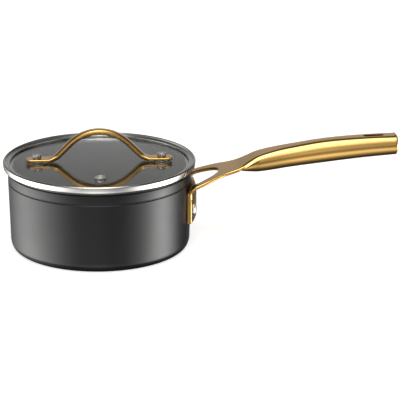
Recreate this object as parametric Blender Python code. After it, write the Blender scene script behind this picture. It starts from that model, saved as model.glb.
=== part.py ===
"""Saucepan with a long hollow handle and a lift-off glass lid.

Metres, +Z up. The origin is the centre of the base's underside, the pan's axis is Z,
and the long handle runs along +X. The lid is at rest on the pan.
"""
import math

import bmesh
import bpy
from mathutils import Vector

MM = 0.001
GAP = 0.3                     # clearance between neighbouring solids, mm

# Pan, mm
RIM_Z = 77.2                  # height of the widest line of the lid's band, the datum of the upper parts
WALL_TOP_R = 79.9
WALL_BASE_R = 78.8
BASE_FILLET = 6.0
BODY_UNDERSIDE_Z = 0.5
PAN_LIP_Z = RIM_Z - 6.9
WALL_THICK = 2.5
FLOOR_Z = 5.0
FLOOR_FILLET = 9.0
GROOVE_Z = RIM_Z - 16.3       # line turned into the wall below the lip
GROOVE_DEPTH = 0.5
GROOVE_HALF = 0.8
DISC_R = 66.0                 # steel disc pressed into the base
DISC_THICK = 2.0

# Lid, mm
BAND_R = 84.0                 # widest radius of the steel band
BAND_CREST_R = 83.0
BAND_CREST_Z = RIM_Z + 1.0
BAND_LOW_R = 83.6
BAND_LOW_Z = RIM_Z - 4.6
BAND_EDGE = 0.6               # bevels of the band's edges
LIP_INNER_R = 78.1            # inner edge of the band's flat lip, on top of the glass
LIP_Z = RIM_Z - 0.9
GLASS_R = 79.8
GLASS_THICK = 3.1
GLASS_EDGE_Z = RIM_Z - 2.5    # top of the glass at its edge
GLASS_RISE = 1.4
SKIRT_R = 76.9                # skirt that centres the lid in the pan
SKIRT_LOW_Z = RIM_Z - 9.6
SKIRT_THICK = 0.8
SKIRT_BEND = 0.3
FLANGE_THICK = 0.8
GLASS_BEVEL = 0.5

# Lid handle, mm
FOOT_X = 54.4                 # distance of each fixing from the lid's axis
FOOT_END_X = 63.8
FOOT_WIDE = 11.6              # the feet are flat straps, the arch between them is a rounded bar
FOOT_THICK = 2.4
FOOT_TIP = 1.0                # the ends of the feet narrow over this length
FOOT_UNDER_Z = RIM_Z - 0.35
BAR_WIDE = 8.0
BAR_THICK = 5.0
ARCH_RISE = 24.4              # of the arch's centre line above the feet's
ARCH_TOP_R = 35.9             # centre-line radius of the arch's crown
ARCH_FOOT_R = 12.8            # centre-line radius of the bend above each foot
ARCH_SLOPE = math.radians(45)
SCREW_R = 2.0
SCREW_HEAD_R = 3.9
SCREW_HEAD_HIGH = 3.0
SCREW_HEAD_BEVEL = 0.6
SCREW_HOLE_R = 2.6
GASKET_R = 5.2
GASKET_THICK = 0.8
WASHER_R = 6.0
WASHER_THICK = 1.5
NUT_R = 4.6
NUT_HIGH = 4.0
NUT_DOME = 1.3                # height and width of the cap nut's bevel

# Steam vent, mm
VENT_Y = -50.0
VENT_FLANGE_R = 4.2
VENT_FLANGE_HIGH = 0.9
VENT_FLANGE_BEVEL = 0.5
VENT_TUBE_R = 2.6
VENT_TUBE_LOW = 2.0           # the tube reaches this far below the glass
VENT_FLARE = 1.2              # width and height of its turned-out lower end
VENT_BORE_R = 1.5
VENT_HOLE_R = 3.6
VENT_GASKET_R = 4.9
VENT_GASKET_LIP = 0.4
VENT_GASKET_UP = 0.5          # underside of the gasket's lip above the glass
VENT_GASKET_IN = 0.6          # the gasket ends this far above the glass's underside

# Long handle, mm: distances out from the pan's axis, heights from RIM_Z
PLATE_HALF = 27.0             # half width of the plate on the wall
PLATE_BULGE_R = 64.7          # outer face is part of a tighter cylinder than the wall
PLATE_FACE_X = 84.9           # outer face on the handle's centre line
PLATE_LOW = -52.3
PLATE_LOW_ARCH = 3.0          # the lower edge rises this much at the middle
PLATE_TOP_EDGE = -25.5
PLATE_TOP_MIDDLE = -18.0
PLATE_TOP_TAPER = 7.0         # the plate thins towards its upper edge over this height
PLATE_TOP_SHARE = 0.4         # part of its thickness left at that edge
PLATE_EDGE = 0.8
ARM_INNER = 17.5              # inside half gap between the arms at the wall
FORK_START_X = 86.0
CROTCH_X = 104.0
CROTCH_POWER = 0.42           # the gap closes towards its crotch as this power of the distance
FORK_MEET = 0.4               # the arms run this far over the centre line at the crotch
SHELL_START_X = 123.0
SHELL_FRONT = 18.0            # stretch of the grip with closely spaced sections
HANDLE_END_X = 261.2
END_CAP_THICK = 2.0
END_CAP_ROUND = ((0.0, 1.0), (1.3, 0.97), (2.0, 0.86))    # distance along the cap and size there
STRAP_T = 3.0                 # thickness of the forked strap
STRAP_DROP = 3.15             # the same measured straight down on the strap's slope
STRAP_EDGE = 0.6
SHELL_T = 1.5
ARM_SUNK = 0.06               # the arms' faces lie this much inside the web's, so no faces coincide
ARM_BEND_R = 5.5
ARM_ROOT = 4.0                # the arms run this far down into the plate
SLOT_X = 241.0
SLOT_LONG = 18.7
SLOT_WIDE = 5.8
SLEEVE_T = 0.8
RIVET_Y = 20.0
RIVET_Z = -40.2
RIVET_HEAD_R = 4.8
RIVET_HEAD_HIGH = 2.4
RIVET_SHANK_R = 2.6
RIVET_INNER_R = 4.5
RIVET_INNER_HIGH = 1.6
RIVET_FACE = 0.6              # underside of each head off the face it clamps
RIVET_CUT = (60.0, 100.0)     # ends of the cutters for the rivets' holes

# (distance, value) stations of the handle's smooth outlines: height of the strap's top face,
# height of the grip's underside, half width of the top face, and half width of the grip
TOP_LINE = (
    (80, -19.4), (92, -14.9), (104, -10.8), (121, -5.9), (128, -1.9), (138, 3.3), (154, 7.9),
    (170, 11.0), (197, 15.3), (230, 17.8), (266, 18.9),
)
LOW_LINE = (
    (119, -9.0), (124, -10.7), (130, -12.0), (140, -12.8), (168, -9.0), (197, -5.5), (230, -1.8), (266, 1.3),
)
TOP_HALF = (
    (80, 28.0), (92, 24.8), (101, 21.2), (109, 18.0), (116, 16.3), (122, 15.2), (127, 12.2), (133, 10.2),
    (140, 9.0), (148, 7.8), (163, 6.0), (195, 5.0), (226, 5.5), (245, 6.0), (266, 6.1),
)
SIDE_HALF = ((118, 15.9), (127, 15.0), (134, 13.4), (140, 12.3), (168, 10.8), (220, 10.5), (266, 10.2))

ROUND = 72                    # segments around the pan and lid
SMALL_ROUND = 24
LID_CUT = (RIM_Z - 17.0, RIM_Z + 13.0)      # heights of the cutters for the lid's holes
HANDLE_CUT = (RIM_Z - 20.0, RIM_Z + 40.0)   # heights of the cutter for the hanging hole


def clear_scene():
    for old in list(bpy.data.objects):
        bpy.data.objects.remove(old, do_unlink=True)


def material(name, colour, roughness, metallic, alpha=1.0):
    mat = bpy.data.materials.new(name)
    mat.use_nodes = True
    shader = mat.node_tree.nodes["Principled BSDF"]
    shader.inputs["Base Color"].default_value = (*colour, 1.0)
    shader.inputs["Roughness"].default_value = roughness
    shader.inputs["Metallic"].default_value = metallic
    shader.inputs["Alpha"].default_value = alpha
    return mat


def smooth_through(stations, x):
    """Value at x of the smooth curve through the stations, flat beyond its ends."""
    if x <= stations[0][0]:
        return stations[0][1]
    if x >= stations[-1][0]:
        return stations[-1][1]
    last = len(stations) - 1
    i = max(k for k in range(last) if stations[k][0] <= x)
    (x0, y0), (x1, y1) = stations[i], stations[i + 1]

    def slope(k):
        if k in (0, last):
            j = min(k, last - 1)
            return (stations[j + 1][1] - stations[j][1]) / (stations[j + 1][0] - stations[j][0])
        return (stations[k + 1][1] - stations[k - 1][1]) / (stations[k + 1][0] - stations[k - 1][0])

    span = x1 - x0
    t = (x - x0) / span
    start = (2 * t**3 - 3 * t**2 + 1) * y0 + (t**3 - 2 * t**2 + t) * span * slope(i)
    end = (3 * t**2 - 2 * t**3) * y1 + (t**3 - t**2) * span * slope(i + 1)
    return start + end


def spread(low, high, count):
    """count + 1 evenly spaced values from low to high."""
    return [low + (high - low) * k / count for k in range(count + 1)]


def new_object(name, bm, mat=None, sharp=35):
    bmesh.ops.recalc_face_normals(bm, faces=bm.faces)
    mesh = bpy.data.meshes.new(name)
    bm.to_mesh(mesh)
    bm.free()
    mesh.shade_smooth()
    mesh.set_sharp_from_angle(angle=math.radians(sharp))
    obj = bpy.data.objects.new(name, mesh)
    bpy.context.collection.objects.link(obj)
    if mat is not None:
        mesh.materials.append(mat)
    return obj


def turned(name, profile, mat=None, segments=ROUND, centre=(0.0, 0.0)):
    """Closed solid turned about a vertical axis from (radius, height) points in mm.

    A profile that starts and ends on the axis is a solid plug, any other is a ring.
    """
    bm = bmesh.new()
    on_axis = profile[0][0] == 0
    rim_points = profile[1:-1] if on_axis else profile
    rings = []
    for radius, height in rim_points:
        ring = []
        for k in range(segments):
            turn = 2 * math.pi * k / segments
            x = centre[0] + radius * math.cos(turn)
            y = centre[1] + radius * math.sin(turn)
            ring.append(bm.verts.new((x * MM, y * MM, height * MM)))
        rings.append(ring)
    pairs = list(zip(rings, rings[1:]))
    if not on_axis:
        pairs.append((rings[-1], rings[0]))
    for lower, upper in pairs:
        for k in range(segments):
            n = (k + 1) % segments
            bm.faces.new((lower[k], lower[n], upper[n], upper[k]))
    if on_axis:
        for (_, height), ring in ((profile[0], rings[0]), (profile[-1], rings[-1])):
            hub = bm.verts.new((centre[0] * MM, centre[1] * MM, height * MM))
            for k in range(segments):
                bm.faces.new((hub, ring[k], ring[(k + 1) % segments]))
    return new_object(name, bm, mat)


def lofted(name, rings, mat=None, sharp=35):
    """Closed solid through equal rings of points in mm, with flat ends."""
    bm = bmesh.new()
    rows = [[bm.verts.new(Vector(p) * MM) for p in ring] for ring in rings]
    count = len(rows[0])
    for lower, upper in zip(rows, rows[1:]):
        for k in range(count):
            n = (k + 1) % count
            bm.faces.new((lower[k], lower[n], upper[n], upper[k]))
    ends = [bm.faces.new(rows[0]), bm.faces.new(rows[-1])]
    bmesh.ops.triangulate(bm, faces=ends)
    return new_object(name, bm, mat, sharp)


def arc(centre, radius, start, end, steps):
    """Points of an arc in the plane of a profile; angles in degrees."""
    return [
        (centre[0] + radius * math.cos(math.radians(a)), centre[1] + radius * math.sin(math.radians(a)))
        for a in spread(start, end, steps)
    ]


def plug(radius, low, high):
    """Profile of a plain round plug."""
    return [(0, low), (radius, low), (radius, high), (0, high)]


def boolean(target, other, operation):
    """Apply a Boolean with a helper solid, then remove the helper."""
    step = target.modifiers.new(operation.lower(), "BOOLEAN")
    step.operation = operation
    step.solver = "EXACT"
    step.object = other
    graph = bpy.context.evaluated_depsgraph_get()
    result = bpy.data.meshes.new_from_object(target.evaluated_get(graph))
    target.modifiers.remove(step)
    target.data = result
    result.set_sharp_from_angle(angle=math.radians(35))
    bpy.data.objects.remove(other, do_unlink=True)


def glass_top(radius):
    return GLASS_EDGE_Z + GLASS_RISE * (1 - (radius / GLASS_R) ** 2)


def make_pan_body(mat):
    inner_base_r = WALL_BASE_R - WALL_THICK
    recess_r = DISC_R + GAP
    recess_z = DISC_THICK + GAP
    lip_r = WALL_THICK / 2
    profile = [(0, recess_z), (recess_r, recess_z), (recess_r, BODY_UNDERSIDE_Z)]
    fillet = (WALL_BASE_R - BASE_FILLET, BODY_UNDERSIDE_Z + BASE_FILLET)
    profile += arc(fillet, BASE_FILLET, -90, 0, 5)
    profile += [(WALL_TOP_R, GROOVE_Z - GROOVE_HALF)]
    profile += [(WALL_TOP_R - GROOVE_DEPTH, GROOVE_Z)]
    profile += [(WALL_TOP_R, GROOVE_Z + GROOVE_HALF)]
    profile += arc((WALL_TOP_R - lip_r, PAN_LIP_Z - lip_r), lip_r, 0, 180, 6)
    floor = (inner_base_r - FLOOR_FILLET, FLOOR_Z + FLOOR_FILLET)
    profile += arc(floor, FLOOR_FILLET, 0, -90, 5)
    profile += [(0, FLOOR_Z)]
    return turned("pan_body", profile, mat)


def make_induction_disc(mat):
    bevel = 0.5
    profile = [(0, 0), (DISC_R - bevel, 0), (DISC_R, bevel), (DISC_R, DISC_THICK), (0, DISC_THICK)]
    return turned("induction_disc", profile, mat)


def make_lid_glass(mat):
    flat_r = GLASS_R - GLASS_BEVEL
    top = [(r, glass_top(r)) for r in spread(flat_r, 0, 5)]
    under = [(r, glass_top(r) - GLASS_THICK) for r in spread(0, flat_r, 5)]
    edge = [
        (GLASS_R, GLASS_EDGE_Z - GLASS_THICK + GLASS_BEVEL),
        (GLASS_R, GLASS_EDGE_Z - GLASS_BEVEL),
    ]
    glass = turned("lid_glass", under + edge + top, mat)
    holes = [(FOOT_X, 0, SCREW_HOLE_R), (-FOOT_X, 0, SCREW_HOLE_R), (0, VENT_Y, VENT_HOLE_R)]
    for x, y, radius in holes:
        boolean(glass, turned("hole", plug(radius, *LID_CUT), None, SMALL_ROUND, (x, y)), "DIFFERENCE")
    return glass


def make_lid_rim(mat):
    channel_top = GLASS_EDGE_Z + GAP
    channel_low = GLASS_EDGE_Z - GLASS_THICK - GAP
    flange_low = channel_low - FLANGE_THICK
    channel_r = GLASS_R + GAP
    profile = [
        (LIP_INNER_R, channel_top),
        (LIP_INNER_R, LIP_Z - BAND_EDGE),
        (LIP_INNER_R + BAND_EDGE, LIP_Z),
        (BAND_CREST_R - 3 * BAND_EDGE, LIP_Z),
        (BAND_CREST_R - BAND_EDGE, BAND_CREST_Z),
        (BAND_CREST_R, BAND_CREST_Z),
        (BAND_R, BAND_CREST_Z - 2 * BAND_EDGE),
        (BAND_LOW_R, BAND_LOW_Z + BAND_EDGE),
        (BAND_LOW_R - BAND_EDGE, BAND_LOW_Z),
        (BAND_LOW_R - 3 * BAND_EDGE, BAND_LOW_Z),
        (channel_r, flange_low),
        (SKIRT_R + SKIRT_BEND, flange_low),
        (SKIRT_R, flange_low - SKIRT_BEND),
        (SKIRT_R, SKIRT_LOW_Z),
        (SKIRT_R - SKIRT_THICK, SKIRT_LOW_Z),
        (SKIRT_R - SKIRT_THICK, channel_low),
        (channel_r, channel_low),
        (channel_r, channel_top),
    ]
    return turned("lid_rim", profile, mat)


def lid_bow_line():
    """Centre line (x, z, tilt, bar) of the bow; bar is 0 on the flat feet and 1 on the round arch."""
    mid = FOOT_UNDER_Z + FOOT_THICK / 2
    drop = 1 - math.cos(ARCH_SLOPE)
    ramp_high = ARCH_RISE - (ARCH_TOP_R + ARCH_FOOT_R) * drop
    bend_x = (ARCH_TOP_R + ARCH_FOOT_R) * math.sin(ARCH_SLOPE) + ramp_high / math.tan(ARCH_SLOPE)
    right = []
    for tilt in spread(0, ARCH_SLOPE, 8):
        z = mid + ARCH_RISE - ARCH_TOP_R * (1 - math.cos(tilt))
        right.append((ARCH_TOP_R * math.sin(tilt), z, tilt, 1.0))
    for tilt in spread(ARCH_SLOPE, 0, 6):
        z = mid + ARCH_FOOT_R * (1 - math.cos(tilt))
        right.append((bend_x - ARCH_FOOT_R * math.sin(tilt), z, tilt, tilt / ARCH_SLOPE))
    right.append((FOOT_END_X - FOOT_TIP, mid, 0.0, 0.0))
    left = [(-x, z, -tilt, bar) for x, z, tilt, bar in reversed(right[1:])]
    return left + right


def bow_section(bar):
    """Eight-sided section of the bow as (across, up) points, between the foot's and the bar's."""
    w = (FOOT_WIDE + (BAR_WIDE - FOOT_WIDE) * bar) / 2
    t = (FOOT_THICK + (BAR_THICK - FOOT_THICK) * bar) / 2
    bevel = 0.55 * t
    return [
        (-w + bevel, -t), (w - bevel, -t), (w, -t + bevel), (w, t - bevel),
        (w - bevel, t), (-w + bevel, t), (-w, t - bevel), (-w, -t + bevel),
    ]


def make_lid_handle(mat):
    line = lid_bow_line()
    rings = []
    for x, z, tilt, bar in line:
        ring = [(x + up * math.sin(tilt), across, z + up * math.cos(tilt)) for across, up in bow_section(bar)]
        rings.append(ring)
    for end, sign in ((0, -1), (-1, 1)):
        x, z, _, bar = line[end]
        tip = [(x + sign * FOOT_TIP, 0.86 * across, z + 0.75 * up) for across, up in bow_section(bar)]
        rings.insert(0 if end == 0 else len(rings), tip)
    handle = lofted("lid_handle", rings, mat)
    for x in (-FOOT_X, FOOT_X):
        boolean(handle, turned("hole", plug(SCREW_HOLE_R, *LID_CUT), None, SMALL_ROUND, (x, 0)), "DIFFERENCE")
    return handle


def make_lid_fixing(side, x, steel, rubber, cap):
    """One fixing of the lid handle: screw, gasket, washer and cap nut, through the glass."""
    foot_top = FOOT_UNDER_Z + FOOT_THICK
    gasket_top = FOOT_UNDER_Z - GAP
    gasket_low = gasket_top - GASKET_THICK
    glass_under = glass_top(FOOT_X + WASHER_R) - GLASS_THICK
    washer_top = glass_under - GAP
    washer_low = washer_top - WASHER_THICK
    nut_top = washer_low - GAP
    nut_low = nut_top - NUT_HIGH
    shank_low = nut_low + NUT_HIGH / 2
    head_low = foot_top + GAP
    head_top = head_low + SCREW_HEAD_HIGH
    screw = [(0, shank_low), (SCREW_R, shank_low), (SCREW_R, head_low), (SCREW_HEAD_R, head_low)]
    screw += [(SCREW_HEAD_R, head_top - SCREW_HEAD_BEVEL), (SCREW_HEAD_R - SCREW_HEAD_BEVEL, head_top)]
    screw += [(0, head_top)]
    turned(f"lid_screw_{side}", screw, steel, SMALL_ROUND, (x, 0))
    bore = SCREW_R + GAP
    gasket = [(bore, gasket_low), (GASKET_R, gasket_low), (GASKET_R, gasket_top), (bore, gasket_top)]
    turned(f"foot_gasket_{side}", gasket, rubber, SMALL_ROUND, (x, 0))
    washer = [(bore, washer_low), (WASHER_R, washer_low), (WASHER_R, washer_top), (bore, washer_top)]
    turned(f"under_washer_{side}", washer, rubber, SMALL_ROUND, (x, 0))
    nut = [(0, nut_low), (NUT_R - NUT_DOME, nut_low), (NUT_R, nut_low + NUT_DOME)]
    nut += [(NUT_R, nut_top), (bore, nut_top), (bore, shank_low - GAP), (0, shank_low - GAP)]
    turned(f"lid_nut_{side}", nut, cap, SMALL_ROUND, (x, 0))


def make_vent(steel, rubber):
    """Steam vent: a turned-over eyelet in a rubber ring."""
    glass_z = glass_top(abs(VENT_Y))
    under = glass_z - GLASS_THICK
    low = under - VENT_TUBE_LOW
    lip_low = glass_z + VENT_GASKET_UP
    flange_low = lip_low + VENT_GASKET_LIP + GAP
    flange_top = flange_low + VENT_FLANGE_HIGH
    eyelet = [
        (VENT_BORE_R, low),
        (VENT_TUBE_R + VENT_FLARE, low),
        (VENT_TUBE_R, low + VENT_FLARE),
        (VENT_TUBE_R, flange_low),
        (VENT_FLANGE_R, flange_low),
        (VENT_FLANGE_R - VENT_FLANGE_BEVEL, flange_top),
        (VENT_BORE_R + VENT_FLANGE_BEVEL, flange_top),
        (VENT_BORE_R, flange_top - VENT_FLANGE_BEVEL),
    ]
    turned("vent_eyelet", eyelet, steel, SMALL_ROUND, (0, VENT_Y))
    bore = VENT_TUBE_R + GAP
    ring = [
        (bore, under + VENT_GASKET_IN),
        (VENT_HOLE_R - GAP, under + VENT_GASKET_IN),
        (VENT_HOLE_R - GAP, lip_low),
        (VENT_GASKET_R, lip_low),
        (VENT_GASKET_R, lip_low + VENT_GASKET_LIP),
        (bore, lip_low + VENT_GASKET_LIP),
    ]
    turned("vent_gasket", ring, rubber, SMALL_ROUND, (0, VENT_Y))


def plate_outer_x(y):
    centre = PLATE_FACE_X - PLATE_BULGE_R
    return centre + math.sqrt(PLATE_BULGE_R**2 - y**2)


def wall_x(y, clearance):
    return math.sqrt((WALL_TOP_R + clearance) ** 2 - y**2)


def make_wall_plate():
    """Plate that follows the pan's wall, thicker in the middle, with a bevelled rim."""
    rings = []
    edge = PLATE_EDGE
    for y in spread(-PLATE_HALF, PLATE_HALF, 16):
        share = 1 - (y / PLATE_HALF) ** 2
        low = RIM_Z + PLATE_LOW + PLATE_LOW_ARCH * share
        high = RIM_Z + PLATE_TOP_EDGE + (PLATE_TOP_MIDDLE - PLATE_TOP_EDGE) * share
        back = wall_x(y, GAP)
        face = plate_outer_x(y) - (edge if abs(y) == PLATE_HALF else 0)
        ring = [
            (back, y, low),
            (face - edge, y, low),
            (face, y, low + edge),
            (face, y, high - PLATE_TOP_TAPER),
            (back + PLATE_TOP_SHARE * (face - back), y, high),
            (back, y, high),
        ]
        rings.append(ring)
    return lofted("handle_bracket", rings)


def fork_inner_half(x):
    """Inside half width of the gap between the arms, closing in a round crotch."""
    share = min(max((CROTCH_X - x) / (CROTCH_X - FORK_START_X), 0.0), 1.0)
    return ARM_INNER * share**CROTCH_POWER - FORK_MEET


def make_arm(side):
    """One arm: up from the plate, round the bend and out to the crotch."""
    slope = math.atan2(TOP_LINE[1][1] - TOP_LINE[0][1], TOP_LINE[1][0] - TOP_LINE[0][0])
    line = []
    middle_y = (ARM_INNER + PLATE_HALF) / 2
    plate_x = plate_outer_x(middle_y) - STRAP_T / 2 - ARM_SUNK
    bend_r = ARM_BEND_R + STRAP_T / 2
    start_x = plate_x + bend_r * (1 - math.sin(slope))
    start_z = smooth_through(TOP_LINE, start_x) - STRAP_T / 2 / math.cos(slope)
    centre = (plate_x + bend_r, start_z - bend_r * math.cos(slope))
    for turn in spread(math.pi, math.pi / 2 + slope, 6):
        x, z = centre[0] + bend_r * math.cos(turn), centre[1] + bend_r * math.sin(turn)
        line.append((x, z, turn - math.pi / 2))
    line.insert(0, (plate_x, centre[1] - ARM_ROOT, math.pi / 2))
    for x in (87.0, 90.0, 93.0, 96.0, 99.0, 101.5, 103.0, 103.7, CROTCH_X, CROTCH_X + 0.6):
        line.append((x, smooth_through(TOP_LINE, x) - STRAP_T / 2 / math.cos(slope), slope))
    rings = []
    half = STRAP_T / 2 - ARM_SUNK
    edge = STRAP_EDGE
    for x, z, tilt in line:
        out = min(smooth_through(TOP_HALF, x), PLATE_HALF) - ARM_SUNK
        inner = fork_inner_half(x)
        wrap = max(tilt - slope, 0.0) / (math.pi / 2 - slope)
        corners = [
            (inner, -half + edge), (inner + edge, -half), (out - edge, -half), (out, -half + edge),
            (out, half - edge), (out - edge, half), (inner + edge, half), (inner, half - edge),
        ]
        ring = []
        for y, up in corners:
            bow = wrap * (plate_outer_x(y) - plate_outer_x(middle_y))
            ring.append((x + bow - up * math.sin(tilt), side * y, RIM_Z + z + up * math.cos(tilt)))
        rings.append(ring)
    return lofted("arm", rings)


def grip_ellipse(x):
    """Half width, half height and centre height of the ellipse that the grip's section is cut from."""
    top = RIM_Z + smooth_through(TOP_LINE, x)
    low = RIM_Z + smooth_through(LOW_LINE, x)
    ridge = smooth_through(TOP_HALF, x)
    side = max(smooth_through(SIDE_HALF, x), ridge + 0.4)
    high = (top - low) / (1 + math.sqrt(1 - (ridge / side) ** 2))
    return side, high, low + high


def ellipse_half_at(x, z):
    """Half width of the grip's ellipse at a height."""
    side, high, centre = grip_ellipse(x)
    return side * math.sqrt(1 - min(abs(z - centre) / high, 0.999) ** 2)


def make_fork_web():
    """Strap from the crotch of the fork to the end of the grip, its top face narrowing."""
    rings = []
    edge = STRAP_EDGE
    stations = spread(CROTCH_X - 1.0, SHELL_START_X + SHELL_FRONT, 15)
    stations += spread(SHELL_START_X + 1.5 * SHELL_FRONT, HANDLE_END_X - END_CAP_THICK - GAP, 9)
    for x in stations:
        top = RIM_Z + smooth_through(TOP_LINE, x)
        half = smooth_through(TOP_HALF, x)
        low = top - STRAP_DROP
        under = max(ellipse_half_at(x, low), half) if x > SHELL_START_X else half
        side = half + (under - half) * 0.55 + ARM_SUNK
        ring = [
            (x, -under + edge / 2, low), (x, under - edge / 2, low), (x, under, low + edge / 2),
            (x, side, (top + low) / 2), (x, half, top - edge / 2), (x, half - edge / 2, top),
            (x, -half + edge / 2, top), (x, -half, top - edge / 2), (x, -side, (top + low) / 2),
            (x, -under, low + edge / 2),
        ]
        rings.append(ring)
    return lofted("web", rings)


def slot_solid(long, wide, low_at, top_at):
    """Oblong upright plug at the hanging hole, between two heights given as functions of x."""
    radius = wide / 2
    run = long / 2 - radius
    outline = arc((SLOT_X + run, 0), radius, -90, 90, 8) + arc((SLOT_X - run, 0), radius, 90, 270, 8)
    rings = [[(x, y, height(x)) for x, y in outline] for height in (low_at, top_at)]
    return lofted("slot", rings)


def slot_cutter():
    """Plug that leaves room for the sleeve, taller than the grip."""
    room = 2 * (SLEEVE_T + GAP)
    low, high = HANDLE_CUT
    return slot_solid(SLOT_LONG + room, SLOT_WIDE + room, lambda x: low, lambda x: high)


def make_handle_bracket(mat):
    bracket = make_wall_plate()
    for part in (make_arm(-1), make_arm(1), make_fork_web()):
        boolean(bracket, part, "UNION")
    boolean(bracket, slot_cutter(), "DIFFERENCE")
    for y in (-RIVET_Y, RIVET_Y):
        boolean(bracket, rivet_hole(y), "DIFFERENCE")
    bracket.data.materials.clear()
    bracket.data.materials.append(mat)
    return bracket


def grip_outline(x, inset):
    """Points (y, z) of the grip's ellipse below its strap, from edge to edge."""
    side, high, centre = grip_ellipse(x)
    cut = RIM_Z + smooth_through(TOP_LINE, x) - STRAP_DROP - GAP
    a = side - inset
    b = high - inset
    start = math.asin(max(min((cut - centre) / b, 0.999), -0.999))
    return [(a * math.cos(t), centre + b * math.sin(t)) for t in spread(start, -math.pi - start, 16)]


def make_grip_shell(mat):
    """Hollow underside of the grip, open along the top where the strap covers it."""
    rings = []
    stations = spread(SHELL_START_X, SHELL_START_X + SHELL_FRONT, 8)
    stations += spread(SHELL_START_X + 1.5 * SHELL_FRONT, HANDLE_END_X - END_CAP_THICK - GAP, 9)
    for x in stations:
        outer = grip_outline(x, 0.0)
        inner = grip_outline(x, SHELL_T)
        ring = [(x, y, z) for y, z in outer] + [(x, y, z) for y, z in reversed(inner)]
        rings.append(ring)
    shell = lofted("grip_shell", rings, mat)
    boolean(shell, slot_cutter(), "DIFFERENCE")
    return shell


def make_hang_sleeve(mat):
    """Oblong sleeve that lines the hanging hole from the strap to the underside."""
    def low_at(x):
        return RIM_Z + smooth_through(LOW_LINE, x) + SLEEVE_T

    def top_at(x):
        return RIM_Z + smooth_through(TOP_LINE, x) - GAP

    sleeve = slot_solid(SLOT_LONG + 2 * SLEEVE_T, SLOT_WIDE + 2 * SLEEVE_T, low_at, top_at)
    low, high = HANDLE_CUT
    bore = slot_solid(SLOT_LONG, SLOT_WIDE, lambda x: low, lambda x: high)
    boolean(sleeve, bore, "DIFFERENCE")
    sleeve.name = "hang_hole_sleeve"
    sleeve.data.materials.clear()
    sleeve.data.materials.append(mat)
    return sleeve


def make_end_cap(mat):
    """Cap that closes the far end of the hollow grip."""
    start = HANDLE_END_X - END_CAP_THICK
    side, high, centre = grip_ellipse(start)
    top = RIM_Z + smooth_through(TOP_LINE, start)
    middle = (top + centre - high) / 2
    ridge_turn = math.asin((top - centre) / high)
    turns = spread(ridge_turn, -math.pi - ridge_turn, 18)
    outline = [(side * math.cos(t), centre + high * math.sin(t)) for t in turns]
    rings = []
    for along, share in END_CAP_ROUND:
        rings.append([(start + along, y * share, middle + (z - middle) * share) for y, z in outline])
    return lofted("handle_end_cap", rings, mat)


def rivet_hole(y):
    """Cutter for a rivet's shank, pointing out from the pan's axis."""
    return radial_turned("hole", y, plug(RIVET_SHANK_R + GAP, *RIVET_CUT))


def radial_turned(name, y, profile, mat=None):
    """Solid turned about a rivet's axis from (radius, distance from the pan's axis) points."""
    obj = turned(name, profile, mat, SMALL_ROUND)
    turn = math.asin(y / plate_outer_x(y))
    z = (RIM_Z + RIVET_Z) * MM
    for vert in obj.data.vertices:
        across, up, out = vert.co
        vert.co = (
            out * math.cos(turn) - up * math.sin(turn),
            out * math.sin(turn) + up * math.cos(turn),
            z - across,
        )
    return obj


def make_rivet(name, y, mat):
    """Domed rivet through the plate and the pan's wall, with a low head inside the pan."""
    reach = math.hypot(plate_outer_x(y), y)
    head = reach + RIVET_FACE
    inner = WALL_TOP_R - WALL_THICK - 2 * RIVET_FACE
    profile = [(0, inner - RIVET_INNER_HIGH)]
    for turn in spread(70, 0, 3):
        away = RIVET_INNER_R * math.cos(math.radians(turn))
        profile.append((away, inner - RIVET_INNER_HIGH * math.sin(math.radians(turn))))
    profile += [(RIVET_SHANK_R, inner), (RIVET_SHANK_R, head)]
    for turn in spread(0, 75, 4):
        away = RIVET_HEAD_R * math.cos(math.radians(turn))
        profile.append((away, head + RIVET_HEAD_HIGH * math.sin(math.radians(turn))))
    profile.append((0, head + RIVET_HEAD_HIGH))
    return radial_turned(name, y, profile, mat)


def main():
    clear_scene()
    anodised = material("anodised_body", (0.035, 0.036, 0.038), 0.38, 0.6)
    disc_steel = material("base_steel", (0.45, 0.45, 0.46), 0.35, 1.0)
    band_steel = material("band_steel", (0.72, 0.71, 0.69), 0.22, 1.0)
    fixing_steel = material("fixing_steel", (0.75, 0.75, 0.74), 0.25, 1.0)
    gold = material("gold_steel", (0.68, 0.46, 0.18), 0.28, 1.0)
    glass = material("lid_glass", (0.72, 0.74, 0.75), 0.03, 0.0, 0.35)
    rubber = material("clear_silicone", (0.55, 0.55, 0.53), 0.5, 0.0)
    body = make_pan_body(anodised)
    make_induction_disc(disc_steel)
    make_handle_bracket(gold)
    make_grip_shell(gold)
    make_hang_sleeve(gold)
    make_end_cap(gold)
    for name, y in (("rivet_near", -RIVET_Y), ("rivet_far", RIVET_Y)):
        boolean(body, rivet_hole(y), "DIFFERENCE")
        make_rivet(f"handle_{name}", y, fixing_steel)
    make_lid_glass(glass)
    make_lid_rim(band_steel)
    make_lid_handle(gold)
    for side, x in (("left", -FOOT_X), ("right", FOOT_X)):
        make_lid_fixing(side, x, fixing_steel, rubber, fixing_steel)
    make_vent(fixing_steel, rubber)


main()
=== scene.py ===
"""Studio view of a saucepan with a long golden handle and a lift-off glass lid.

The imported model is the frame. Lengths below are in millimetres unless a name says otherwise.
"""
import math

import bmesh
import bpy
from mathutils import Matrix, Vector


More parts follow.
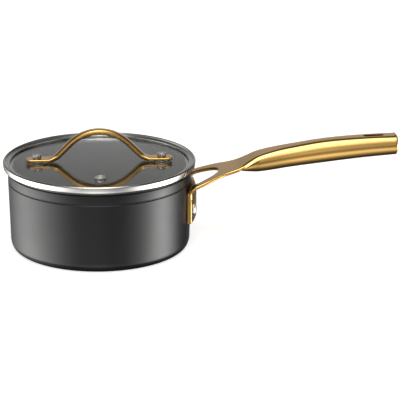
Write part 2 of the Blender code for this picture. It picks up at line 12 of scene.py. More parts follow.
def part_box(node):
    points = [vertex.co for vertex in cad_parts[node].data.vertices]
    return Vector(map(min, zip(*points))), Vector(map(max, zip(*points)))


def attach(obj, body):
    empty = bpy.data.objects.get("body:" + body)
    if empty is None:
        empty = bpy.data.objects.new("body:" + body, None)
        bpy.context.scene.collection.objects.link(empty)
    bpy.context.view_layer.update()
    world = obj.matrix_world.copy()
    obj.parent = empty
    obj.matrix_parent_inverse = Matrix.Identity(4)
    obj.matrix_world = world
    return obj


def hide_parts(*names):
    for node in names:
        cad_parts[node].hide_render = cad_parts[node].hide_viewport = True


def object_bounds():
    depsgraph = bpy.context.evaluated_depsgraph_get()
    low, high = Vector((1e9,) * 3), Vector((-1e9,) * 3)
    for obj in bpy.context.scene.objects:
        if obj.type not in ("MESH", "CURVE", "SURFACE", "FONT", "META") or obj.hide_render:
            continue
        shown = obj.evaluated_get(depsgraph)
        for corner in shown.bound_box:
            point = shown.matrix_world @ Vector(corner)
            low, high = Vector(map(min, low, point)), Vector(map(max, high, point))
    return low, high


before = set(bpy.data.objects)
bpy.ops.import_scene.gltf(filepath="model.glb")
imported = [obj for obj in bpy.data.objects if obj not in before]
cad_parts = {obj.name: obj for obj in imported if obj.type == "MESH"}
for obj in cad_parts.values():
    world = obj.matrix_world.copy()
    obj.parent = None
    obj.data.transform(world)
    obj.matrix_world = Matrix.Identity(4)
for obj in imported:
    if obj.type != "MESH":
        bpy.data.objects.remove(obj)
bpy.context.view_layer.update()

MM = 0.001


def node_box(name):
    """Lowest and highest corner of a CAD node, mm."""
    low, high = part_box(name)
    return low / MM, high / MM


pan_low, pan_high = node_box("pan_body")
disc_high = node_box("induction_disc")[1]
rim_low, rim_high = node_box("lid_rim")
glass_high = node_box("lid_glass")[1]
bow_low, bow_high = node_box("lid_handle")
bracket_high = node_box("handle_bracket")[1]
shell_low = node_box("grip_shell")[0]
cap_low, cap_high = node_box("handle_end_cap")

GAP = 0.3                     # clearance between neighbouring pieces
CREST_RISE = 1.0
RIM_Z = rim_high.z - CREST_RISE    # height of the band's widest line, datum of the upper parts
BAND_R = rim_high.x

# Steps around a turned piece, and the angles above which an edge stays sharp
FINE_ROUND = 256
GLASS_ROUND = 192
HEAD_ROUND = 72
SMALL_ROUND = 64
HOLE_ROUND = 40
SHARP = 32
BLUNT = 40


# ---------------------------------------- shape helpers

def lerp(a, b, t):
    return a + (b - a) * t


def smoothstep(low, high, x):
    t = min(max((x - low) / (high - low), 0.0), 1.0)
    return t * t * (3 - 2 * t)


def spread(low, high, count):
    return [low + (high - low) * k / count for k in range(count + 1)]


def smooth_through(stations, x):
    """Value at x of the smooth curve through the stations, flat beyond its ends."""
    if x <= stations[0][0]:
        return stations[0][1]
    if x >= stations[-1][0]:
        return stations[-1][1]
    last = len(stations) - 1
    i = max(k for k in range(last) if stations[k][0] <= x)
    (x0, y0), (x1, y1) = stations[i], stations[i + 1]

    def slope(k):
        if k in (0, last):
            j = min(k, last - 1)
            return (stations[j + 1][1] - stations[j][1]) / (stations[j + 1][0] - stations[j][0])
        return (stations[k + 1][1] - stations[k - 1][1]) / (stations[k + 1][0] - stations[k - 1][0])

    span = x1 - x0
    t = (x - x0) / span
    start = (2 * t**3 - 3 * t**2 + 1) * y0 + (t**3 - 2 * t**2 + t) * span * slope(i)
    end = (3 * t**2 - 2 * t**3) * y1 + (t**3 - t**2) * span * slope(i + 1)
    return start + end


def rounded(points, closed=True, steps=5):
    """Outline with each (a, b, radius) corner rounded; a radius of 0 stays sharp."""
    out = []
    count = len(points)
    for k, (a, b, radius) in enumerate(points):
        here = Vector((a, b))
        if radius == 0 or (not closed and k in (0, count - 1)):
            out.append((a, b))
            continue
        before = Vector(points[k - 1][:2]) - here
        after = Vector(points[(k + 1) % count][:2]) - here
        reach = min(radius, 0.45 * before.length, 0.45 * after.length)
        start = here + before.normalized() * reach
        end = here + after.normalized() * reach
        for t in spread(0, 1, steps):
            p = (1 - t) ** 2 * start + 2 * t * (1 - t) * here + t**2 * end
            out.append((p.x, p.y))
    return out


def new_piece(name, bm, mats, sharp=SHARP):
    mesh = bpy.data.meshes.new(name)
    bm.to_mesh(mesh)
    bm.free()
    mesh.shade_smooth()
    mesh.set_sharp_from_angle(angle=math.radians(sharp))
    obj = bpy.data.objects.new(name, mesh)
    bpy.context.scene.collection.objects.link(obj)
    for mat in mats:
        mesh.materials.append(mat)
    return obj


def turned(name, profile, mats, segments=FINE_ROUND, centre=(0.0, 0.0), face_mat=None, sharp=SHARP):
    """Closed solid turned about a vertical axis from (radius, height) points.

    A profile that starts and ends on the axis is a solid plug, any other is a ring.
    face_mat gives the material number of the band between two profile points.
    """
    bm = bmesh.new()
    on_axis = profile[0][0] == 0
    rim_points = profile[1:-1] if on_axis else profile
    rings = []
    for radius, height in rim_points:
        ring = []
        for k in range(segments):
            turn = 2 * math.pi * k / segments
            x = centre[0] + radius * math.cos(turn)
            y = centre[1] + radius * math.sin(turn)
            ring.append(bm.verts.new((x * MM, y * MM, height * MM)))
        rings.append(ring)
    pairs = list(zip(rings, rings[1:], rim_points, rim_points[1:]))
    if not on_axis:
        pairs.append((rings[-1], rings[0], rim_points[-1], rim_points[0]))
    for lower, upper, low_point, high_point in pairs:
        number = face_mat(low_point, high_point) if face_mat else 0
        for k in range(segments):
            n = (k + 1) % segments
            face = bm.faces.new((lower[k], lower[n], upper[n], upper[k]))
            face.material_index = number
    if on_axis:
        for (_, height), ring, point in (
            (profile[0], rings[0], rim_points[0]),
            (profile[-1], rings[-1], rim_points[-1]),
        ):
            hub = bm.verts.new((centre[0] * MM, centre[1] * MM, height * MM))
            number = face_mat((0, height), point) if face_mat else 0
            for k in range(segments):
                face = bm.faces.new((hub, ring[k], ring[(k + 1) % segments]))
                face.material_index = number
    bmesh.ops.recalc_face_normals(bm, faces=bm.faces)
    return new_piece(name, bm, mats, sharp)


def lofted(name, rings, mats, sharp=SHARP):
    """Closed solid through equal rings of points, with its ends filled."""
    bm = bmesh.new()
    rows = [[bm.verts.new(Vector(p) * MM) for p in ring] for ring in rings]
    count = len(rows[0])
    for lower, upper in zip(rows, rows[1:]):
        for k in range(count):
            n = (k + 1) % count
            bm.faces.new((lower[k], lower[n], upper[n], upper[k]))
    ends = [bm.faces.new(rows[0]), bm.faces.new(rows[-1])]
    bmesh.ops.triangulate(bm, faces=ends)
    bmesh.ops.recalc_face_normals(bm, faces=bm.faces)
    return new_piece(name, bm, mats, sharp)


def even_shading(obj):
    """Let large flat faces set the shading of the small rounded edges beside them."""
    step = obj.modifiers.new("even_shading", "WEIGHTED_NORMAL")
    step.keep_sharp = True
    graph = bpy.context.evaluated_depsgraph_get()
    result = bpy.data.meshes.new_from_object(obj.evaluated_get(graph))
    obj.modifiers.remove(step)
    obj.data = result


def boolean(target, other, operation, sharp=SHARP):
    """Apply a Boolean with a helper solid, then remove the helper."""
    step = target.modifiers.new(operation.lower(), "BOOLEAN")
    step.operation = operation
    step.solver = "EXACT"
    step.object = other
    graph = bpy.context.evaluated_depsgraph_get()
    result = bpy.data.meshes.new_from_object(target.evaluated_get(graph))
    target.modifiers.remove(step)
    target.data = result
    result.set_sharp_from_angle(angle=math.radians(sharp))
    bpy.data.objects.remove(other, do_unlink=True)


def drill(target, x, y, radius, low, high):
    """Cut an upright round hole between two heights."""
    bore = [(0, low), (radius, low), (radius, high), (0, high)]
    boolean(target, turned("hole", bore, [], HOLE_ROUND, (x, y)), "DIFFERENCE")


def one_material(obj, mat):
    obj.data.materials.clear()
    obj.data.materials.append(mat)


def arc(centre, radius, start, end, steps):
    """Points of an arc in a profile's plane; angles in degrees."""
    return [
        (centre[0] + radius * math.cos(math.radians(a)), centre[1] + radius * math.sin(math.radians(a)))
        for a in spread(start, end, steps)
    ]


# ---------------------------------------- materials

def new_material(name):
    mat = bpy.data.materials.new(name)
    mat.use_nodes = True
    tree = mat.node_tree
    shader = tree.nodes["Principled BSDF"]
    return mat, tree, shader


def noise(tree, scale, stretch=(1.0, 1.0, 1.0), detail=4.0, roughness=0.55):
    """Noise over the object's own coordinates, stretched by the given factors."""
    place = tree.nodes.new("ShaderNodeTexCoord")
    mapping = tree.nodes.new("ShaderNodeMapping")
    mapping.inputs["Scale"].default_value = stretch
    texture = tree.nodes.new("ShaderNodeTexNoise")
    texture.inputs["Scale"].default_value = scale
    texture.inputs["Detail"].default_value = detail
    texture.inputs["Roughness"].default_value = roughness
    tree.links.new(place.outputs["Object"], mapping.inputs["Vector"])
    tree.links.new(mapping.outputs["Vector"], texture.inputs["Vector"])
    return texture.outputs["Fac"]


def math_node(tree, operation, value, second=0.0, third=0.0):
    """Math node fed by a value, with numbers in its other inputs."""
    node = tree.nodes.new("ShaderNodeMath")
    node.operation = operation
    node.inputs[1].default_value = second
    node.inputs[2].default_value = third
    tree.links.new(value, node.inputs[0])
    return node


def around_axis(tree, turns, rings, centre=(0.0, 0.0)):
    """Coordinates (radius, height, angle) about a vertical axis, scaled for a noise texture."""
    place = tree.nodes.new("ShaderNodeTexCoord")
    split = tree.nodes.new("ShaderNodeSeparateXYZ")
    tree.links.new(place.outputs["Object"], split.inputs[0])
    across, along = (
        math_node(tree, "SUBTRACT", split.outputs[axis], centre[axis]).outputs[0] for axis in (0, 1)
    )
    angle = math_node(tree, "ARCTAN2", along)
    tree.links.new(across, angle.inputs[1])
    flat = tree.nodes.new("ShaderNodeCombineXYZ")
    tree.links.new(across, flat.inputs[0])
    tree.links.new(along, flat.inputs[1])
    radius = tree.nodes.new("ShaderNodeVectorMath")
    radius.operation = "LENGTH"
    tree.links.new(flat.outputs[0], radius.inputs[0])
    join = tree.nodes.new("ShaderNodeCombineXYZ")
    tree.links.new(radius.outputs["Value"], join.inputs[0])
    tree.links.new(split.outputs[2], join.inputs[1])
    tree.links.new(angle.outputs[0], join.inputs[2])
    scale = tree.nodes.new("ShaderNodeVectorMath")
    scale.operation = "MULTIPLY"
    scale.inputs[1].default_value = (rings, rings, turns)
    tree.links.new(join.outputs[0], scale.inputs[0])
    return scale.outputs["Vector"]


def ring_noise(tree, turns, rings, detail=3.0, centre=(0.0, 0.0)):
    """Noise drawn out into rings about a vertical axis, as turning or polishing leaves."""
    texture = tree.nodes.new("ShaderNodeTexNoise")
    texture.inputs["Scale"].default_value = 1.0
    texture.inputs["Detail"].default_value = detail
    tree.links.new(around_axis(tree, turns, rings, centre), texture.inputs["Vector"])
    return texture.outputs["Fac"]


def to_range(tree, value, low, high, from_low=0.3, from_high=0.7):
    mapped = tree.nodes.new("ShaderNodeMapRange")
    mapped.inputs["From Min"].default_value = from_low
    mapped.inputs["From Max"].default_value = from_high
    mapped.inputs["To Min"].default_value = low
    mapped.inputs["To Max"].default_value = high
    tree.links.new(value, mapped.inputs["Value"])
    return mapped.outputs["Result"]


def two_colours(tree, value, first, second, from_low=0.3, from_high=0.7):
    ramp = tree.nodes.new("ShaderNodeValToRGB")
    ramp.color_ramp.elements[0].position = from_low
    ramp.color_ramp.elements[0].color = (*first, 1.0)
    ramp.color_ramp.elements[1].position = from_high
    ramp.color_ramp.elements[1].color = (*second, 1.0)
    tree.links.new(value, ramp.inputs["Fac"])
    return ramp.outputs["Color"]


def bump(tree, height, strength, distance, under=None):
    node = tree.nodes.new("ShaderNodeBump")
    node.inputs["Strength"].default_value = strength
    node.inputs["Distance"].default_value = distance
    tree.links.new(height, node.inputs["Height"])
    if under is not None:
        tree.links.new(under, node.inputs["Normal"])
    return node.outputs["Normal"]


def surface(tree, shader, colour, roughness, normal):
    """Link the three things that vary over every surface here."""
    tree.links.new(colour, shader.inputs["Base Color"])
    tree.links.new(roughness, shader.inputs["Roughness"])
    tree.links.new(normal, shader.inputs["Normal"])


FINE_RELIEF = 0.00002         # m, depth of brushing, turning and grain


def anodised(name, gloss):
    """Hard-anodised aluminium: dark grey satin with a fine grain and faint turning rings."""
    mat, tree, shader = new_material(name)
    grain = noise(tree, 2600.0, detail=2.0)
    cloud = noise(tree, 26.0, detail=3.0)
    rings = ring_noise(tree, 3.0, 1500.0)
    shader.inputs["Specular IOR Level"].default_value = gloss
    colour = two_colours(tree, grain, (0.0030, 0.0030, 0.0032), (0.0055, 0.0055, 0.0058))
    fine = bump(tree, grain, 0.12, FINE_RELIEF)
    relief = bump(tree, rings, 0.06, FINE_RELIEF, fine)
    surface(tree, shader, colour, to_range(tree, cloud, 0.34, 0.40), relief)
    return mat


def inner_coating():
    """Non-stick coating inside the pan: near-black with a fine mineral speckle."""
    mat, tree, shader = new_material("inner_coating")
    grain = noise(tree, 1400.0, detail=3.0)
    peel = noise(tree, 420.0, detail=2.0)
    shader.inputs["Specular IOR Level"].default_value = 0.30
    colour = two_colours(tree, grain, (0.006, 0.006, 0.006), (0.020, 0.020, 0.020), 0.45, 0.75)
    surface(tree, shader, colour, to_range(tree, grain, 0.34, 0.48), bump(tree, peel, 0.25, 0.00003))
    return mat


# Least and greatest roughness of a metal, as shares of its own
SMOOTHEST = 0.85
ROUGHEST = 1.2


def turned_steel(name, colour, roughness, rings=3000.0, centre=(0.0, 0.0), strength=0.10):
    """Steel polished or faced in a lathe: rings of finer and coarser lines."""
    mat, tree, shader = new_material(name)
    lines = ring_noise(tree, 2.0, rings, 4.0, centre)
    patch = noise(tree, 60.0, detail=2.0)
    shader.inputs["Metallic"].default_value = 1.0
    colours = two_colours(tree, lines, tuple(0.90 * c for c in colour), colour)
    uneven = to_range(tree, patch, roughness * SMOOTHEST, roughness * ROUGHEST)
    surface(tree, shader, colours, uneven, bump(tree, lines, strength, FINE_RELIEF))
    return mat


GOLD = (0.86, 0.52, 0.145)
GOLD_DIM = (0.72, 0.41, 0.105)


def brushed_gold(name, along, roughness=0.17, tone=1.0):
    """Gold-toned brushed steel; along is the stretch that draws the brushing out along the piece."""
    mat, tree, shader = new_material(name)
    lines = noise(tree, 1.0, along, 5.0, 0.65)
    wide = noise(tree, 0.12, along, 2.0)
    shader.inputs["Metallic"].default_value = 1.0
    shader.inputs["Coat Weight"].default_value = 0.6
    shader.inputs["Coat Roughness"].default_value = 0.10
    dim = tuple(tone * c for c in GOLD_DIM)
    bright = tuple(tone * c for c in GOLD)
    uneven = to_range(tree, wide, roughness * SMOOTHEST, roughness * ROUGHEST)
    surface(tree, shader, two_colours(tree, lines, dim, bright), uneven, bump(tree, lines, 0.10, FINE_RELIEF))
    return mat


def silicone():
    """Milky silicone of the gaskets and washers."""
    mat, tree, shader = new_material("milky_silicone")
    cloud = noise(tree, 300.0, detail=2.0)
    shader.inputs["Subsurface Weight"].default_value = 0.15
    shader.inputs["Subsurface Radius"].default_value = (0.002, 0.002, 0.002)
    colour = two_colours(tree, cloud, (0.34, 0.33, 0.31), (0.44, 0.43, 0.41))
    surface(tree, shader, colour, to_range(tree, cloud, 0.45, 0.60), bump(tree, cloud, 0.1, 0.00005))
    return mat


def clear_glass():
    """Tempered glass: clear, a trace of grey-green, a barely uneven polish, a pale tinted shadow."""
    mat, tree, shader = new_material("tempered_glass")
    wave = noise(tree, 18.0, detail=1.0)
    smear = noise(tree, 70.0, (1.0, 2.5, 1.0), 3.0)
    shader.inputs["Transmission Weight"].default_value = 1.0
    shader.inputs["IOR"].default_value = 1.5
    colour = two_colours(tree, smear, (0.90, 0.92, 0.915), (0.94, 0.955, 0.95))
    polish = to_range(tree, smear, 0.0, 0.03, 0.45, 0.75)
    surface(tree, shader, colour, polish, bump(tree, wave, 0.02, 0.0001))
    path = tree.nodes.new("ShaderNodeLightPath")
    clear = tree.nodes.new("ShaderNodeBsdfTransparent")
    clear.inputs["Color"].default_value = (0.88, 0.90, 0.90, 1.0)
    mix = tree.nodes.new("ShaderNodeMixShader")
    out = tree.nodes["Material Output"]
    tree.links.new(path.outputs["Is Shadow Ray"], mix.inputs["Fac"])
    tree.links.new(shader.outputs["BSDF"], mix.inputs[1])
    tree.links.new(clear.outputs["BSDF"], mix.inputs[2])
    tree.links.new(mix.outputs["Shader"], out.inputs["Surface"])
    return mat


anodised_mat = anodised("anodised_dark", 0.42)
# Heel: the same anodising with a lower specular level, so the lowest band of the wall reads darker; this is
# painted shade near the floor
heel_shade_mat = anodised("anodised_heel_painted_shade", 0.12)
inner_mat = inner_coating()
disc_mat = turned_steel("base_disc_steel", (0.50, 0.50, 0.51), 0.34, 1400.0, strength=0.3)
band_mat = turned_steel("band_steel_polished", (0.67, 0.66, 0.635), 0.22)
fixing_mat = turned_steel("fixing_steel_turned", (0.90, 0.87, 0.84), 0.50)
grip_gold = brushed_gold("gold_brushed_long", (30.0, 2600.0, 2600.0))
plate_gold = brushed_gold("gold_brushed_strap", (45.0, 2300.0, 2300.0))
# Cut edges: a rougher gold, which is real, with its colour halved, which is painted shade in the fork's gap
# and on the plate's ends
punched_edge_shade_gold = brushed_gold("gold_punched_edge_painted_shade", (900.0, 900.0, 60.0), 0.40, 0.50)
bow_gold = brushed_gold("gold_brushed_bow", (60.0, 2300.0, 60.0))
rubber_mat = silicone()
glass_mat = clear_glass()


def place(obj, body, slot, *nodes):
    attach(obj, body)
    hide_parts(*nodes)


# ---------------------------------------- pan

WALL_R = pan_high.x
LIP_Z = pan_high.z
WALL_THICK = 2.5
BASE_R = WALL_R - 1.1         # the wall draws in a little towards the base
UNDER_Z = pan_low.z
HEEL_WIDE = 4.6
HEEL_HIGH = 8.4
HEEL_SHADE_SHARE = 0.62              # share of the heel's height given a lower specular level, painted shade near the floor
RECESS_BEVEL = 0.4
FLOOR_Z = 5.0
FLOOR_R = 9.0
GROOVE_Z = RIM_Z - 16.3       # line turned into the wall
GROOVE_HALF = 0.8
GROOVE_FLAT = 0.25
GROOVE_DEPTH = 0.5
NECK = 1.2                    # step in the wall just under the lip
LIP_R = (WALL_THICK - NECK) / 2


def make_pan():
    neck_z = LIP_Z - LIP_R - 0.35
    recess_r = disc_high.x + GAP
    recess_z = disc_high.z + GAP
    under = [
        (0, recess_z, 0),
        (recess_r, recess_z, 0.3),
        (recess_r, UNDER_Z, 0),
    ]
    profile = rounded(under, closed=False)[:-1]
    profile += [(recess_r, UNDER_Z + RECESS_BEVEL), (recess_r + RECESS_BEVEL, UNDER_Z)]
    profile += [
        (BASE_R - HEEL_WIDE * (1 - x), UNDER_Z + HEEL_HIGH * (1 + y))
        for x, y in arc((0, 0), 1, -90, 0, 16)
    ]
    wall = [
        (BASE_R + 0.01, UNDER_Z + HEEL_HIGH + 1, 0),
        (WALL_R, GROOVE_Z - GROOVE_HALF, 0.25),
        (WALL_R - GROOVE_DEPTH, GROOVE_Z - GROOVE_FLAT, 0.2),
        (WALL_R - GROOVE_DEPTH, GROOVE_Z + GROOVE_FLAT, 0.2),
        (WALL_R, GROOVE_Z + GROOVE_HALF, 0.25),
        (WALL_R, neck_z - 0.4, 0.2),
        (WALL_R - NECK, neck_z, 0.1),
        (WALL_R - NECK, LIP_Z - LIP_R - 0.05, 0),
    ]
    profile += rounded(wall, closed=False, steps=4)
    profile += arc((WALL_R - NECK - LIP_R, LIP_Z - LIP_R), LIP_R, 0, 180, 12)
    profile += arc((BASE_R - WALL_THICK - FLOOR_R, FLOOR_Z + FLOOR_R), FLOOR_R, 0, -90, 14)
    profile += [(r, FLOOR_Z) for r in (52, 36, 18, 0)]

    def face_mat(low_point, high_point):
        inside = max(low_point[0], high_point[0]) < BASE_R - 1.0
        if inside and min(low_point[1], high_point[1]) > FLOOR_Z - 1.0:
            return 1
        # Faces low on the heel take the darker heel material: painted shade near the floor.
        in_heel_shade = max(low_point[1], high_point[1]) < UNDER_Z + HEEL_SHADE_SHARE * HEEL_HIGH
        return 2 if in_heel_shade else 0

    return turned("pan_shell", profile, [anodised_mat, inner_mat, heel_shade_mat], face_mat=face_mat)


def make_disc():
    radius, top = disc_high.x, disc_high.z
    profile = rounded([(0, 0, 0), (radius, 0, 0.6), (radius, top, 0.2), (0, top, 0)], closed=False)
    rings = (20, 40, 60)
    profile = profile[:1] + [(r, 0) for r in rings] + profile[1:-1]
    profile += [(r, top) for r in reversed(rings)] + [(0, top)]
    return turned("base_disc", profile, [disc_mat])


place(make_pan(), "pan", "anodised_body", "pan_body")
place(make_disc(), "pan", "base_steel", "induction_disc")


# ---------------------------------------- lid

GLASS_R = glass_high.x
GLASS_THICK = 3.1
GLASS_RISE = 1.4
GLASS_EDGE_Z = RIM_Z - 2.5    # top of the glass at its edge
GLASS_EDGE = 0.7
BOW_FOOT_X = 54.4
SCREW_HOLE_R = 2.6
VENT_Y = -50.0
VENT_HOLE_R = 3.6
LID_HOLES = (
    (BOW_FOOT_X, 0, SCREW_HOLE_R),
    (-BOW_FOOT_X, 0, SCREW_HOLE_R),
    (0, VENT_Y, VENT_HOLE_R),
)


def glass_top(radius):
    return GLASS_EDGE_Z + GLASS_RISE * (1 - (radius / GLASS_R) ** 2)


def make_glass():
    """Domed pane with three holes, its normals taken from the dome itself."""
    flat_r = GLASS_R - GLASS_EDGE
    top = [(r, glass_top(r)) for r in spread(flat_r, 0, 16)]
    under = [(r, glass_top(r) - GLASS_THICK) for r in spread(0, flat_r, 16)]
    middle = glass_top(GLASS_R) - GLASS_THICK / 2
    edge = [
        (flat_r + GLASS_EDGE * math.cos(a), middle + (GLASS_THICK / 2) * math.sin(a))
        for a in spread(-1.2, 1.2, 6)
    ]
    pane = turned("glass_pane", under + edge + top, [glass_mat], GLASS_ROUND)
    for x, y, radius in LID_HOLES:
        drill(pane, x, y, radius, RIM_Z - 15, RIM_Z + 10)
    one_material(pane, glass_mat)
    mesh = pane.data
    normals = [None] * len(mesh.loops)
    slope = 2 * GLASS_RISE / GLASS_R**2
    for polygon in mesh.polygons:
        on_dome = abs(polygon.normal.z) > 0.95
        for k in polygon.loop_indices:
            co = mesh.vertices[mesh.loops[k].vertex_index].co / MM
            dome = Vector((slope * co.x, slope * co.y, 1.0)).normalized()
            outward = dome if polygon.normal.z > 0 else -dome
            normals[k] = outward if on_dome else polygon.normal.copy()
    mesh.normals_split_custom_set(normals)
    return pane


LIP_INNER_R = 78.1            # inner edge of the band's flat lip, on top of the glass
LIP_LINE_R = 79.95            # thin line rolled into that lip
LIP_LINE_HALF = 0.25
SKIRT_R = 76.9
STEEL_THICK = 0.8


def make_band():
    """Rolled band: flat lip, raised crest, outer face, flange, and the skirt that centres the lid."""
    channel_r = GLASS_R + GAP
    channel_top = GLASS_EDGE_Z + 0.12
    channel_low = GLASS_EDGE_Z - GLASS_THICK - GAP
    flange_low = channel_low - STEEL_THICK
    lip_z = RIM_Z - 0.9
    low_z = RIM_Z - 4.6
    corners = [
        (LIP_INNER_R, channel_top, 0.1),
        (LIP_INNER_R, lip_z, 0.7),
        (LIP_LINE_R - LIP_LINE_HALF, lip_z, 0.15),
        (LIP_LINE_R, lip_z - 0.3, 0.1),
        (LIP_LINE_R + LIP_LINE_HALF, lip_z, 0.15),
        (BAND_R - 2.6, lip_z, 0.4),
        (BAND_R - 1.9, rim_high.z, 0.45),
        (BAND_R - 0.9, rim_high.z, 0.5),
        (BAND_R, RIM_Z, 0.9),
        (BAND_R - 0.1, RIM_Z - 2.0, 1.0),
        (BAND_R - 0.4, low_z, 0.6),
        (BAND_R - 2.0, low_z, 0.4),
        (GLASS_R + STEEL_THICK, flange_low, 0.3),
        (SKIRT_R - 0.4, flange_low, 0.5),
        (SKIRT_R - 0.5, flange_low - 0.5, 0.4),
        (SKIRT_R, rim_low.z, 0.35),
        (SKIRT_R - STEEL_THICK, rim_low.z, 0.35),
        (SKIRT_R - 1.4, channel_low, 0.2),
        (channel_r, channel_low, 0.1),
        (channel_r, channel_top, 0.1),
    ]
    return turned("steel_band", rounded(corners, steps=4), [band_mat], sharp=50)


place(make_glass(), "lid", "lid_glass", "lid_glass")
place(make_band(), "lid", "band_steel", "lid_rim")

# The lid's handle: flat feet, and an arch between them that is a rounded bar
FOOT_THICK = 2.4
FOOT_HALF = bow_high.y
FOOT_END = bow_high.x
FOOT_TIP = 3.6                # length over which the ends of the feet are rounded
FOOT_EDGE_R = 0.9
BAR_HALF = 4.0
BAR_THICK = 5.0
BAR_EDGE_R = 2.3
ARCH_RISE = bow_high.z - bow_low.z - (FOOT_THICK + BAR_THICK) / 2
ARCH_TOP_R = 35.9
ARCH_FOOT_R = 12.8
ARCH_SLOPE = math.radians(45)


def bow_line():
    """Centre line (x, z, tilt, bar) of the bow; bar is 0 on the flat feet and 1 on the round arch."""
    mid = bow_low.z + FOOT_THICK / 2
    ramp = ARCH_RISE - (ARCH_TOP_R + ARCH_FOOT_R) * (1 - math.cos(ARCH_SLOPE))
    bend_x = (ARCH_TOP_R + ARCH_FOOT_R) * math.sin(ARCH_SLOPE) + ramp / math.tan(ARCH_SLOPE)
    right = []
    for tilt in spread(0, ARCH_SLOPE, 24):
        z = mid + ARCH_RISE - ARCH_TOP_R * (1 - math.cos(tilt))
        right.append((ARCH_TOP_R * math.sin(tilt), z, tilt, 1.0))
    for tilt in spread(ARCH_SLOPE, 0, 20):
        z = mid + ARCH_FOOT_R * (1 - math.cos(tilt))
        right.append((bend_x - ARCH_FOOT_R * math.sin(tilt), z, tilt, smoothstep(0, ARCH_SLOPE, tilt)))
    tip_x = FOOT_END - FOOT_TIP
    for x in (bend_x + 2, bend_x + 5, tip_x - 1.4):
        right.append((x, mid, 0.0, 0.0))
    for turn in spread(0, 1.0, 10):
        right.append((tip_x + FOOT_TIP * math.sin(turn * math.pi / 2), mid, 0.0, 0.0))
    left = [(-x, z, -tilt, bar) for x, z, tilt, bar in reversed(right[1:])]
    return left + right


def make_bow():
    rings = []
    for x, z, tilt, bar in bow_line():
        tip = max(abs(x) - (FOOT_END - FOOT_TIP), 0.0) / FOOT_TIP
        half = lerp(FOOT_HALF, BAR_HALF, bar) - FOOT_TIP * (1 - math.sqrt(max(1 - tip**2, 0.0)))
        thick = lerp(FOOT_THICK, BAR_THICK, bar) / 2
        squeeze = thick if tip < 0.97 else 0.75 * thick
        edge = lerp(FOOT_EDGE_R, BAR_EDGE_R, bar)
        section = rounded([
            (-half, -squeeze, edge), (half, -squeeze, edge),
            (half, squeeze, edge), (-half, squeeze, edge),
        ], steps=5)
        rings.append([(x + up * math.sin(tilt), across, z + up * math.cos(tilt)) for across, up in section])
    bow = lofted("lid_bow", rings, [bow_gold])
    for x in (-BOW_FOOT_X, BOW_FOOT_X):
        drill(bow, x, 0, SCREW_HOLE_R, RIM_Z - 9, RIM_Z + 20)
    one_material(bow, bow_gold)
    even_shading(bow)
    return bow


place(make_bow(), "lid", "gold_steel", "lid_handle")


def middle_and_radius(node):
    """Centre (x, y), outer radius, lowest and highest z of a CAD node turned about an upright axis."""
    low, high = node_box(node)
    centre = ((low.x + high.x) / 2, (low.y + high.y) / 2)
    return centre, (high.x - low.x) / 2, low.z, high.z


def ring_from_box(name, node, corner):
    """Flat silicone ring in the place of a CAD ring, with its edges rounded."""
    centre, radius, low_z, high_z = middle_and_radius(node)
    corners = [
        (RING_BORE_R, low_z, corner), (radius, low_z, corner),
        (radius, high_z, corner), (RING_BORE_R, high_z, corner),
    ]
    return turned(name, rounded(corners, steps=4), [rubber_mat], SMALL_ROUND, centre)


RING_BORE_R = 2.3
SHANK_R = 2.0
HEAD_THICK = 3.0
HEAD_ROLL = 1.3               # width of the rolled edge around the dish of a screw's head
DISH_DEPTH = 0.25
NUT_BORE_R = 2.3
NUT_CAP = 1.2                 # thickness of the nut's closed end
EYELET_BORE_R = 1.5
EYELET_NECK_R = 2.6
EYELET_FLANGE = 0.9
GROMMET_BORE_R = 2.9
GROMMET_NECK_R = 3.3
GROMMET_FLANGE = 0.4


def make_screw(side):
    """Screw with a cylindrical head that is dished on top."""
    (x, _), head_r, low_z, high_z = middle_and_radius(f"lid_screw_{side}")
    head_low = high_z - HEAD_THICK
    dish_z = high_z - DISH_DEPTH
    mat = turned_steel(f"fixing_steel_{side}", (0.78, 0.75, 0.72), 0.22, centre=(x * MM, 0.0))
    corners = [
        (0, low_z, 0), (SHANK_R, low_z, 0.4), (SHANK_R, head_low, 0.15), (head_r, head_low, 0.25),
        (head_r, high_z, 0.7), (head_r - HEAD_ROLL, high_z, 0.2), (head_r - HEAD_ROLL - 0.3, dish_z, 0.2),
        (0, dish_z, 0),
    ]
    return turned(f"screw_{side}", rounded(corners, closed=False, steps=5), [mat], HEAD_ROUND, (x, 0)), mat


def make_nut(side, mat):
    """Cap nut, open at the top where the screw enters."""
    (x, _), radius, low_z, high_z = middle_and_radius(f"lid_nut_{side}")
    cap_z = low_z + NUT_CAP
    corners = [
        (0, low_z, 0), (radius - 1.4, low_z, 0.9), (radius, cap_z, 0.8), (radius, high_z, 0.3),
        (NUT_BORE_R, high_z, 0.2), (NUT_BORE_R, cap_z, 0.2), (0, cap_z, 0),
    ]
    return turned(f"nut_{side}", rounded(corners, closed=False, steps=5), [mat], HEAD_ROUND, (x, 0))


for side in ("left", "right"):
    screw, screw_mat = make_screw(side)
    place(screw, "lid", "fixing_steel", f"lid_screw_{side}")
    place(make_nut(side, screw_mat), "lid", "fixing_steel", f"lid_nut_{side}")
    gasket = ring_from_box(f"gasket_{side}", f"foot_gasket_{side}", 0.3)
    place(gasket, "lid", "silicone", f"foot_gasket_{side}")
    washer = ring_from_box(f"washer_{side}", f"under_washer_{side}", 0.45)
    place(washer, "lid", "silicone", f"under_washer_{side}")


